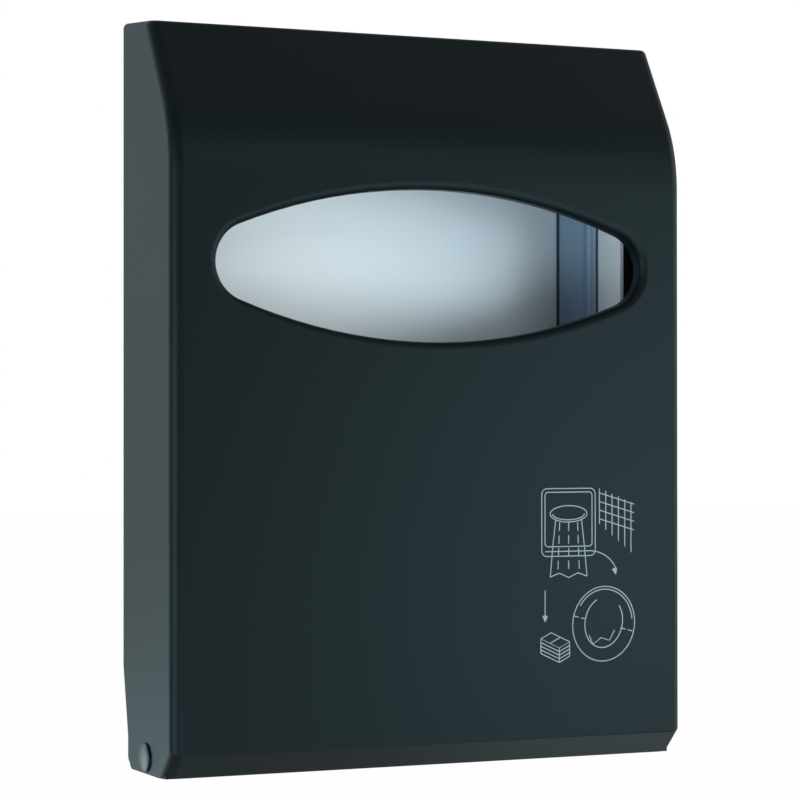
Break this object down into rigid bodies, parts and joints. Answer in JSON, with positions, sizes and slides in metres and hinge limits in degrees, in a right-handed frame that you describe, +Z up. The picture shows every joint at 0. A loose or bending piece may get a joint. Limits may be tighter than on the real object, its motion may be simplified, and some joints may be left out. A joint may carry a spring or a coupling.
{
  "type": "toilet seat cover dispenser",
  "caption": "Wall dispenser for folded paper toilet seat covers, with a black hinged front cover, a long oval opening, a satin metal paper tray and a top lock.",
  "frame": {"origin": "centre of the four wall-screw holes, on the wall plane", "axes": "+Z up, +Y into the wall, +X to the right as seen from the front; the front faces -Y"},
  "size_m": [0.231, 0.06, 0.303],
  "materials": {
    "cover": "fine matte texture",
    "pin": "smooth satin",
    "plate": "matte",
    "tray": "satin",
    "rubber": "matte",
    "keeper": "brushed",
    "screw": "plain zinc",
    "lock": "polished",
    "nut": "nickel-plated",
    "arm": "plain zinc"
  },
  "bodies": {
    "base": {"wall_plate": "plate", "paper_tray": "tray", "buffer_left": "rubber", "buffer_right": "rubber", "keeper_plate": "keeper", "keeper_screw": "screw"},
    "cover": {"front_cover": "cover", "hinge_pin_left": "pin", "hinge_pin_right": "pin", "lock_housing": "lock", "lock_nut": "nut"},
    "lock_barrel": {"lock_plug": "lock", "lock_cam": "arm", "cam_screw": "screw"}
  },
  "joints": [
    {"name": "cover_hinge", "type": "hinge", "parent": "base", "child": "cover", "pos_m": [0, -0.029, -0.1485], "axis": [1, 0, 0], "range_deg": [0, 120]},
    {"name": "lock_turn", "type": "hinge", "parent": "cover", "child": "lock_barrel", "pos_m": [0, -0.018, 0.135], "axis": [0, 0, -1], "range_deg": [0, 90]}
  ]
}
